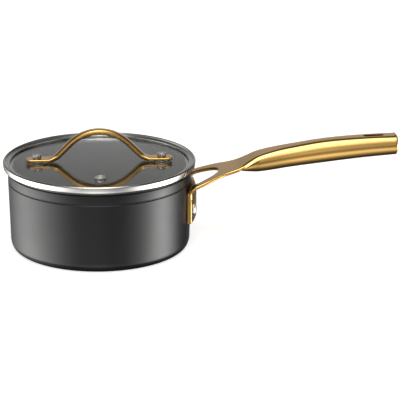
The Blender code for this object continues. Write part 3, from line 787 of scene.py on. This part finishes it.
def make_vent():
    """Eyelet with a small bore, and the grommet that seals it in the glass."""
    _, flange_r, low_z, high_z = middle_and_radius("vent_eyelet")
    flange_low = high_z - EYELET_FLANGE
    mat = turned_steel("vent_steel", (0.92, 0.90, 0.87), 0.50, centre=(0.0, VENT_Y * MM))
    corners = [
        (EYELET_BORE_R, low_z, 0.2), (3.4, low_z, 0.3), (3.8, low_z + 0.5, 0.4),
        (EYELET_NECK_R, low_z + 1.2, 0.1), (EYELET_NECK_R, flange_low, 0.1), (flange_r, flange_low, 0.3),
        (flange_r - 0.5, high_z - 0.1, 0.5), (2.2, high_z, 0.5), (EYELET_BORE_R, high_z - 0.5, 0.6),
    ]
    eyelet = turned("vent_ring", rounded(corners, steps=5), [mat], SMALL_ROUND, (0, VENT_Y))
    place(eyelet, "lid", "fixing_steel", "vent_eyelet")
    _, lip_r, low_z, high_z = middle_and_radius("vent_gasket")
    lip_low = high_z - GROMMET_FLANGE
    corners = [
        (GROMMET_BORE_R, low_z, 0.2), (GROMMET_NECK_R, low_z, 0.2), (GROMMET_NECK_R, lip_low, 0.05),
        (lip_r, lip_low, 0.15), (lip_r, high_z, 0.2), (GROMMET_BORE_R, high_z, 0.1),
    ]
    grommet = turned("vent_grommet", rounded(corners, steps=4), [rubber_mat], SMALL_ROUND, (0, VENT_Y))
    place(grommet, "lid", "silicone", "vent_gasket")


make_vent()


# ---------------------------------------- long handle

# (distance from the pan's axis, value) stations; heights are from RIM_Z
TOP_LINE = (                  # top of the strap and the grip
    (80, -19.4), (92, -14.9), (104, -10.8), (121, -5.9), (128, -1.9), (138, 3.3), (154, 7.9),
    (170, 11.0), (197, 15.3), (230, 17.8), (266, 18.9),
)
LOW_LINE = (                  # underside of the grip
    (119, -9.0), (124, -10.7), (130, -12.0), (140, -12.8), (168, -9.0), (197, -5.5), (230, -1.8), (266, 1.3),
)
TOP_HALF = (                  # half width of the strap
    (80, 28.0), (92, 24.8), (101, 21.2), (109, 18.0), (116, 16.3), (122, 15.2), (127, 12.2), (133, 10.2),
    (140, 9.0), (148, 7.8), (163, 6.0), (195, 5.0), (226, 5.5), (245, 6.0), (266, 6.1),
)
SIDE_HALF = (                 # half width of the grip at its widest
    (118, 15.9), (127, 15.0), (134, 13.4), (140, 12.3), (168, 10.8), (220, 10.5), (266, 10.2),
)
STRAP_T = 3.0
EDGE_R = 1.3                  # rounding of the strap's edges, sharper below where it covers the grip
SEAM_EDGE_R = 0.12
STRAP_DROP = 3.15             # how far the strap's edge comes down over the grip
SEAM = 0.03
SHELL_T = 1.5
SHELL_START = shell_low.x - 2.8
CAP_START = cap_low.x
HANDLE_END = cap_high.x
PLATE_HALF = bracket_high.y
PLATE_EDGE = 1.0              # rounding of the plate's upright edges
PLATE_LOW = -52.3
PLATE_HIGH = -25.5
PLATE_BULGE_R = 64.7          # the plate's outer face is an arc of this radius
PLATE_FACE_X = 84.9
BEND_R = 5.5
FORK_START_X = 86.0
CROTCH_X = 104.0
CROTCH_POWER = 0.42           # roundness of the crotch
CROTCH_RUN = 5.0
ARM_INNER = 17.5
ARM_MIDDLE = (ARM_INNER + PLATE_HALF) / 2
GRIP_BLEND = (118.5, 128.0)   # where the strap's edge takes over the grip's outline
SLOT_X = 241.0
SLOT_LONG = 18.7
SLOT_WIDE = 5.8
SLOT_ROOM = 0.15
SLEEVE_T = 0.8
RIVET_Y = 20.0
RIVET_R = 2.6
RIVET_HOLE_R = 2.9
RIVET_HEAD_R = 4.8
RIVET_DOME = 2.4
INNER_HEAD_R = 4.5
INNER_HEAD = 1.6


def plate_outer_x(y):
    return PLATE_FACE_X - PLATE_BULGE_R + math.sqrt(PLATE_BULGE_R**2 - y**2)


def strap_slope():
    return math.atan2(TOP_LINE[1][1] - TOP_LINE[0][1], TOP_LINE[1][0] - TOP_LINE[0][0])


NEAR_ONE = 0.999


def grip_ellipse(x):
    """Half width, half height and centre height of the ellipse that the grip's section is cut from."""
    top = RIM_Z + smooth_through(TOP_LINE, x)
    low = RIM_Z + smooth_through(LOW_LINE, x)
    ridge = smooth_through(TOP_HALF, x)
    side = max(smooth_through(SIDE_HALF, x), ridge + 0.4)
    high = (top - low) / (1 + math.sqrt(1 - (ridge / side) ** 2))
    return side, high, low + high


def ellipse_half_at(x, z):
    side, high, centre = grip_ellipse(x)
    return side * math.sqrt(1 - min(abs(z - centre) / high, NEAR_ONE) ** 2)


def fork_inner_half(x):
    """Inside half width of the gap between the arms, closing in a round crotch."""
    share = min(max((CROTCH_X - x) / (CROTCH_X - FORK_START_X), 0.0), 1.0)
    return ARM_INNER * share**CROTCH_POWER


def make_plate():
    """Plate that follows the pan's wall, thicker in the middle, with rounded edges."""
    rings = []
    ys = [-PLATE_HALF, -PLATE_HALF + 0.25, -PLATE_HALF + 0.6]
    ys += spread(-PLATE_HALF + PLATE_EDGE, PLATE_HALF - PLATE_EDGE, 56)
    ys += [PLATE_HALF - 0.6, PLATE_HALF - 0.25, PLATE_HALF]
    for y in ys:
        share = 1 - (y / PLATE_HALF) ** 2
        near_edge = max(PLATE_EDGE - (PLATE_HALF - abs(y)), 0.0)
        shrink = PLATE_EDGE - math.sqrt(max(PLATE_EDGE**2 - near_edge**2, 0.0))
        low = RIM_Z + PLATE_LOW + 3.0 * share
        high = RIM_Z + PLATE_HIGH + 7.5 * share
        back = math.sqrt((WALL_R + GAP) ** 2 - y**2)
        face = plate_outer_x(y) - 0.8 * shrink
        section = rounded([
            (back, low + shrink, 0.3), (face, low + shrink, 1.3), (face, high - 7.0, 4.0),
            (back + 0.45 * (face - back), high - shrink, 0.9), (back, high - shrink, 0.3),
        ], steps=6)
        rings.append([(x, y, z) for x, z in section])
    return lofted("fork_strap", rings, [plate_gold], BLUNT)


def tilt_at(x):
    """Slope of the strap at x, as an angle."""
    step = 0.5
    return math.atan2(smooth_through(TOP_LINE, x + step) - smooth_through(TOP_LINE, x - step), 2 * step)


def bend_rows():
    """Places and tilts of the strap's middle line from inside the plate round to its slope."""
    slope = strap_slope()
    plate_x = plate_outer_x(ARM_MIDDLE) - STRAP_T / 2 - 0.1
    bend_r = BEND_R + STRAP_T / 2
    start_x = plate_x + bend_r * (1 - math.sin(slope))
    start_z = smooth_through(TOP_LINE, start_x) - STRAP_T / 2 / math.cos(slope)
    centre = (plate_x + bend_r, start_z - bend_r * math.cos(slope))
    rows = [(plate_x, centre[1] - 4.0, math.pi / 2), (plate_x, centre[1] - 2.0, math.pi / 2)]
    for turn in spread(math.pi, math.pi / 2 + slope, 16):
        x = centre[0] + bend_r * math.cos(turn)
        z = centre[1] + bend_r * math.sin(turn)
        rows.append((x, z, turn - math.pi / 2))
    return rows


def edge_round(thick, low_r=EDGE_R):
    """(inset, depth) points down a strap's edge, with its two corners rounded."""
    turns = [math.radians(a) for a in (90, 72, 54, 36, 18, 0)]
    top = [(EDGE_R - EDGE_R * math.cos(t), EDGE_R - EDGE_R * math.sin(t)) for t in turns]
    low = [(low_r - low_r * math.cos(t), low_r - low_r * math.sin(t)) for t in turns]
    return top + [(inset, thick - depth) for inset, depth in reversed(low)]


def arm_row(x, z, tilt):
    """Outer and inner edge points of one arm, for y > 0, of a row of the fork."""
    outer_half = min(smooth_through(TOP_HALF, x), PLATE_HALF)
    wrap = smoothstep(strap_slope(), math.pi / 2, tilt)
    inner_half = fork_inner_half(x)
    step = 0.01
    if x > CROTCH_X - 2 * step:
        across = Vector((1.0, 0.0))
    elif x < FORK_START_X:
        across = Vector((0.0, 1.0))
    else:
        lean = (fork_inner_half(x + step) - fork_inner_half(x - step)) / (2 * step)
        across = Vector((-lean, 1.0)).normalized()

    def point(px, y, depth):
        up = STRAP_T / 2 - depth
        bow = wrap * (plate_outer_x(y) - plate_outer_x(ARM_MIDDLE))
        rise = smooth_through(TOP_LINE, px) - smooth_through(TOP_LINE, x) if px > x else 0.0
        return (px + bow - up * math.sin(tilt), y, RIM_Z + z + rise + up * math.cos(tilt))

    outer = [point(x, outer_half - inset, depth) for inset, depth in edge_round(STRAP_T)]
    inner = [
        point(x + inset * across.x, inner_half + inset * across.y, depth)
        for inset, depth in edge_round(STRAP_T)
    ]
    return outer, inner


def web_row(x):
    """Edge points of the strap, for y > 0, between the crotch and the grip's end."""
    tilt = tilt_at(x)
    top = RIM_Z + smooth_through(TOP_LINE, x)
    half = smooth_through(TOP_HALF, x)
    on_grip = smoothstep(*GRIP_BLEND, x)
    outer = []
    for inset, depth in edge_round(STRAP_T, lerp(EDGE_R, SEAM_EDGE_R, on_grip)):
        down = depth * lerp(1 / math.cos(tilt), STRAP_DROP / STRAP_T, on_grip)
        z = top - down
        straight = half - inset
        curved = ellipse_half_at(x, z) - inset if on_grip else straight
        outer.append((x, lerp(straight, max(curved, straight), on_grip), z))
    return outer


def make_strap():
    """Forked strap: two arms from the plate that meet in a crotch and run on as one strap."""
    bm = bmesh.new()

    def verts(points, side=1):
        return [bm.verts.new(Vector((x, side * y, z)) * MM) for x, y, z in points]

    def skin(first, second):
        count = len(first)
        for k in range(count):
            n = (k + 1) % count
            bm.faces.new([first[k], first[n], second[n], second[k]])

    rows = bend_rows()
    first_x = rows[-1][0]
    stations = spread(first_x, CROTCH_X - CROTCH_RUN, 14)[1:]
    stations += [CROTCH_X - CROTCH_RUN + CROTCH_RUN * math.sin(t) for t in spread(0, math.pi / 2, 14)][1:]
    for x in stations:
        tilt = tilt_at(x)
        rows.append((x, smooth_through(TOP_LINE, x) - STRAP_T / 2 / math.cos(tilt), tilt))
    shared = None
    ends = []
    for side in (1, -1):
        before = None
        for number, (x, z, tilt) in enumerate(rows):
            outer, inner = arm_row(x, z, tilt)
            last = number == len(rows) - 1
            if last:
                shared = shared or verts([(px, 0.0, pz) for px, _, pz in inner])
            outer_verts = verts(outer, side)
            inner_verts = shared if last else verts(inner, side)
            ring = outer_verts + list(reversed(inner_verts))
            if before:
                skin(before, ring)
            else:
                bm.faces.new(ring)
            before = ring
        ends.append(outer_verts)
    top_middle, low_middle = shared[0], shared[-1]
    right, left = ends
    before = right + [low_middle] + list(reversed(left)) + [top_middle]
    stations = spread(CROTCH_X + 0.8, 126.0, 18) + spread(127.0, 150.0, 18)
    stations += spread(153.0, CAP_START - GAP, 28)
    for x in stations:
        outer = web_row(x)
        low = verts([(x, 0.0, outer[-1][2])])
        high = verts([(x, 0.0, outer[0][2])])
        ring = verts(outer) + low + list(reversed(verts(outer, -1))) + high
        skin(before, ring)
        before = ring
    bm.faces.new(before)
    bmesh.ops.recalc_face_normals(bm, faces=bm.faces)
    return new_piece("strap", bm, [], BLUNT)


def slot_solid(long, wide, low_at, top_at, levels=1):
    """Oblong upright plug at the hanging hole, between two heights given as functions of x."""
    radius = wide / 2
    run = long / 2 - radius
    outline = arc((SLOT_X + run, 0), radius, -90, 90, 20) + arc((SLOT_X - run, 0), radius, 90, 270, 20)
    rings = []
    for k in range(levels + 1):
        rings.append([(x, y, lerp(low_at(x), top_at(x), k / levels)) for x, y in outline])
    return lofted("slot", rings, [])


def cut_slot(target):
    """Cut the hanging hole, with room for its sleeve."""
    grow = 2 * SLOT_ROOM
    cutter = slot_solid(SLOT_LONG + grow, SLOT_WIDE + grow, lambda x: RIM_Z - 20, lambda x: RIM_Z + 40)
    boolean(target, cutter, "DIFFERENCE", BLUNT)


def radial_turned(name, y, profile, mats):
    """Solid turned about a rivet's axis from (radius, distance from the pan's axis) points."""
    obj = turned(name, profile, mats, SMALL_ROUND)
    low, high = node_box("handle_rivet_near")
    z = (low.z + high.z) / 2 * MM
    turn = math.asin(y / plate_outer_x(y))
    for vert in obj.data.vertices:
        across, up, out = vert.co
        vert.co = (
            out * math.cos(turn) - up * math.sin(turn),
            out * math.sin(turn) + up * math.cos(turn),
            z - across,
        )
    return obj


STEEP = 0.7                   # part of a face's normal above which it counts as facing that way


def cut_edge_shaded_face(centre, normal):
    """Whether a face of the strap is in the fork's gap or on the plate's ends, where the metal was cut by
    punching; these faces get a rougher gold whose colour is halved as painted shade.
    """
    if abs(normal.z) >= STEEP:
        return False
    along_fork = FORK_START_X - 4 < centre.x < CROTCH_X + 1
    in_gap = along_fork and abs(centre.y) < fork_inner_half(centre.x) + 0.7
    at_end = abs(centre.y) > PLATE_HALF - 1.2 and abs(normal.y) > STEEP
    return in_gap or (at_end and centre.z < RIM_Z - 22)


def make_fork_strap():
    """Plate, fork and strap in one piece, with holes for the rivets and the hanging hole."""
    strap = make_plate()
    boolean(strap, make_strap(), "UNION", BLUNT)
    cut_slot(strap)
    hole = [(0, 60), (RIVET_HOLE_R, 60), (RIVET_HOLE_R, 100), (0, 100)]
    for y in (-RIVET_Y, RIVET_Y):
        boolean(strap, radial_turned("hole", y, hole, []), "DIFFERENCE", BLUNT)
    one_material(strap, plate_gold)
    # Faces in the fork's gap and on the plate's ends take the half-toned gold: painted shade, besides their
    # rougher finish.
    strap.data.materials.append(punched_edge_shade_gold)
    for polygon in strap.data.polygons:
        polygon.material_index = int(cut_edge_shaded_face(polygon.center / MM, polygon.normal))
    even_shading(strap)
    return strap


def grip_outline(x, inset):
    """Points (y, z) of the grip's ellipse below its strap, from edge to edge."""
    side, high, centre = grip_ellipse(x)
    cut = RIM_Z + smooth_through(TOP_LINE, x) - STRAP_DROP - SEAM
    a = side - inset
    b = high - inset
    start = math.asin(max(min((cut - centre) / b, NEAR_ONE), -NEAR_ONE))
    turns = spread(start, -math.pi - start, 48)
    return [(a * math.cos(t), min(centre + b * math.sin(t), cut)) for t in turns]


def make_grip():
    """Hollow underside of the grip, open along the top where the strap covers it."""
    rings = []
    stations = [SHELL_START, SHELL_START + 0.2] + spread(SHELL_START + 0.6, 150.0, 24)
    stations += spread(153.0, CAP_START - 0.06, 30)
    for x in stations:
        outer = grip_outline(x, 0.0)
        inner = grip_outline(x, SHELL_T)
        rings.append([(x, y, z) for y, z in outer] + [(x, y, z) for y, z in reversed(inner)])
    shell = lofted("grip", rings, [grip_gold], BLUNT)
    cut_slot(shell)
    one_material(shell, grip_gold)
    even_shading(shell)
    return shell


def make_sleeve():
    """Oblong sleeve that lines the hanging hole from the strap to the underside."""
    def low_at(x):
        return RIM_Z + smooth_through(LOW_LINE, x) + 0.6

    def top_at(x):
        return RIM_Z + smooth_through(TOP_LINE, x) - 0.3

    grow = SLOT_ROOM - SEAM
    outer = 2 * grow
    sleeve = slot_solid(SLOT_LONG + outer, SLOT_WIDE + outer, low_at, top_at, 4)
    inner = 2 * (SLEEVE_T - grow)
    long = SLOT_LONG - inner
    wide = SLOT_WIDE - inner
    bore = slot_solid(long, wide, lambda x: low_at(x) - 5, lambda x: top_at(x) + 5)
    boolean(sleeve, bore, "DIFFERENCE")
    sleeve.name = "hang_sleeve"
    one_material(sleeve, grip_gold)
    return sleeve


CAP_STRAIGHT = 0.3            # share of the cap's length before its end is rounded over
CAP_SHRINK = 0.07


def make_cap():
    """Cap that closes the far end of the hollow grip, rounded over its edge."""
    side, high, centre = grip_ellipse(CAP_START)
    top = RIM_Z + smooth_through(TOP_LINE, CAP_START)
    middle = (top + centre - high) / 2
    ridge_turn = math.asin((top - centre) / high)
    turns = spread(ridge_turn, -math.pi - ridge_turn, 60)
    outline = [(side * math.cos(t), centre + high * math.sin(t)) for t in turns]
    long = HANDLE_END - CAP_START
    rings = []
    for t in [0.0, 0.35] + spread(0.5, 1.0, 8):
        swing = math.sqrt(max(1 - (max(t - CAP_STRAIGHT, 0) / (1 - CAP_STRAIGHT)) ** 2, 0.0))
        share = 1 - CAP_SHRINK * (1 - swing)
        x = CAP_START + long * t
        rings.append([(x, y * share, middle + (z - middle) * share) for y, z in outline])
    return lofted("grip_end", rings, [grip_gold], BLUNT)


def make_rivet(name, y, mat):
    """Domed rivet through the plate and the pan's wall, with a low head inside the pan."""
    head = math.hypot(plate_outer_x(y), y) - 0.1
    inner = WALL_R - WALL_THICK - 4 * GAP

    def dome(radius, rise, base, turns):
        return [(radius * math.cos(math.radians(t)), base + rise * math.sin(math.radians(t))) for t in turns]

    profile = [(0, inner - INNER_HEAD)]
    profile += dome(INNER_HEAD_R, -INNER_HEAD, inner, spread(80, 0, 8))
    profile += [(RIVET_R, inner), (RIVET_R, head)]
    profile += dome(RIVET_HEAD_R, RIVET_DOME, head, spread(0, 84, 14))
    profile.append((0, head + RIVET_DOME))
    return radial_turned(name, y, profile, [mat])


place(make_fork_strap(), "pan", "gold_steel", "handle_bracket")
place(make_grip(), "pan", "gold_steel", "grip_shell")
place(make_sleeve(), "pan", "gold_steel", "hang_hole_sleeve")
place(make_cap(), "pan", "gold_steel", "handle_end_cap")
place(make_rivet("rivet_near", -RIVET_Y, fixing_mat), "pan", "fixing_steel", "handle_rivet_near")
place(make_rivet("rivet_far", RIVET_Y, fixing_mat), "pan", "fixing_steel", "handle_rivet_far")


# ---------------------------------------- studio

VIEW_TURN = math.radians(-4.0)


def toward(azimuth, elevation):
    """Unit direction; azimuth is from the camera's side, positive to its right, in degrees."""
    a, e = math.radians(azimuth), math.radians(elevation)
    flat = Vector((math.sin(a) * math.cos(e), -math.cos(a) * math.cos(e), math.sin(e)))
    return Matrix.Rotation(VIEW_TURN, 3, "Z") @ flat


# (azimuth, elevation, tightness, strength) of each soft light in the dome
SOFT_LIGHTS = (
    (0, 76, 20.0, 0.9),
    (0, 59, 22.0, 4.6),
    (0, 36, 20.0, 1.0),
    (0, 3, 30.0, 0.95),
    (0, -44, 22.0, 1.9),
    (0, -64, 12.0, 0.4),
    (-122, -20, 14.0, 0.65),
    (-100, -20, 14.0, 4.2),
    (-77, -20, 11.0, 4.0),
    (-50, -20, 10.0, 1.1),
    (55, -20, 10.0, 0.55),
    (75, -20, 14.0, 3.6),
    (90, -21, 32.0, 11.2),
    (180, 17, 7.0, 0.32),
    (180, -12, 12.0, 0.4),
)
DIM_ROOM = 0.03               # light that comes from everywhere


def make_world():
    """Dome of soft lights: each is strongest along its own direction and fades around it."""
    world = bpy.data.worlds.new("studio")
    bpy.context.scene.world = world
    world.use_nodes = True
    tree = world.node_tree
    direction = tree.nodes.new("ShaderNodeTexCoord")
    total = None
    for azimuth, elevation, tight, strength in SOFT_LIGHTS:
        dot = tree.nodes.new("ShaderNodeVectorMath")
        dot.operation = "DOT_PRODUCT"
        dot.inputs[1].default_value = toward(azimuth, elevation)
        tree.links.new(direction.outputs["Generated"], dot.inputs[0])
        fade = math_node(tree, "MULTIPLY_ADD", dot.outputs["Value"], tight, -tight)
        lobe = math_node(tree, "EXPONENT", fade.outputs[0])
        part = math_node(tree, "MULTIPLY_ADD", lobe.outputs[0], strength, DIM_ROOM)
        if total is not None:
            tree.links.new(total, part.inputs[2])
        total = part.outputs[0]
    background = tree.nodes["Background"]
    background.inputs["Color"].default_value = (1.0, 0.995, 0.985, 1.0)
    tree.links.new(total, background.inputs["Strength"])


FLOOR_HALF = 6.0              # m
FLOOR_DROP = 0.0002           # m, below the base
FLOOR_GLOW = 0.72


def make_floor():
    """Pale floor, a large square with a faint mottle, lit from within so that it stays pale."""
    bm = bmesh.new()
    bmesh.ops.create_grid(bm, x_segments=8, y_segments=8, size=FLOOR_HALF)
    mesh = bpy.data.meshes.new("floor")
    bm.to_mesh(mesh)
    bm.free()
    floor = bpy.data.objects.new("floor", mesh)
    bpy.context.scene.collection.objects.link(floor)
    mat, tree, shader = new_material("pale_floor")
    mottle = noise(tree, 6.0, detail=3.0)
    colour = two_colours(tree, mottle, (0.80, 0.80, 0.80), (0.84, 0.84, 0.84))
    tree.links.new(colour, shader.inputs["Base Color"])
    shader.inputs["Roughness"].default_value = 0.8
    shader.inputs["Specular IOR Level"].default_value = 0.1
    shader.inputs["Emission Color"].default_value = (1.0, 1.0, 1.0, 1.0)
    shader.inputs["Emission Strength"].default_value = FLOOR_GLOW
    mesh.materials.append(mat)
    floor.location.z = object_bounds()[0][2] - FLOOR_DROP
    floor.visible_glossy = False


CAMERA_RISE = math.radians(18.22)
CAMERA_ROLL = math.radians(0.22)
# In band radii: the point aimed at, out along the handle and down from the rim, and the distance
AIM_OUT = 1.047
AIM_DOWN = 0.440
CAMERA_AWAY = 18.85


def make_camera():
    """Camera of the view: a long lens, a little above and slightly to the left of the handle's side."""
    unit = BAND_R * MM
    away = Vector((0.0, math.cos(CAMERA_RISE), -math.sin(CAMERA_RISE)))
    aim = Vector((AIM_OUT * unit, 0.0, RIM_Z * MM - AIM_DOWN * unit))
    eye = aim - away * CAMERA_AWAY * unit
    up = Vector((1.0, 0.0, 0.0)).cross(away)
    back = -away
    pose = Matrix((
        (1.0, up.x, back.x, eye.x),
        (0.0, up.y, back.y, eye.y),
        (0.0, up.z, back.z, eye.z),
        (0.0, 0.0, 0.0, 1.0),
    ))
    data = bpy.data.cameras.new("camera")
    data.lens = 162.0
    data.sensor_width = 36.0
    data.clip_end = 20.0
    camera = bpy.data.objects.new("camera", data)
    bpy.context.scene.collection.objects.link(camera)
    roll = Matrix.Rotation(CAMERA_ROLL, 4, "Z")
    camera.matrix_world = Matrix.Rotation(VIEW_TURN, 4, "Z") @ pose @ roll
    bpy.context.scene.camera = camera


make_world()
make_floor()
make_camera()
bpy.context.scene.view_settings.view_transform = "Standard"
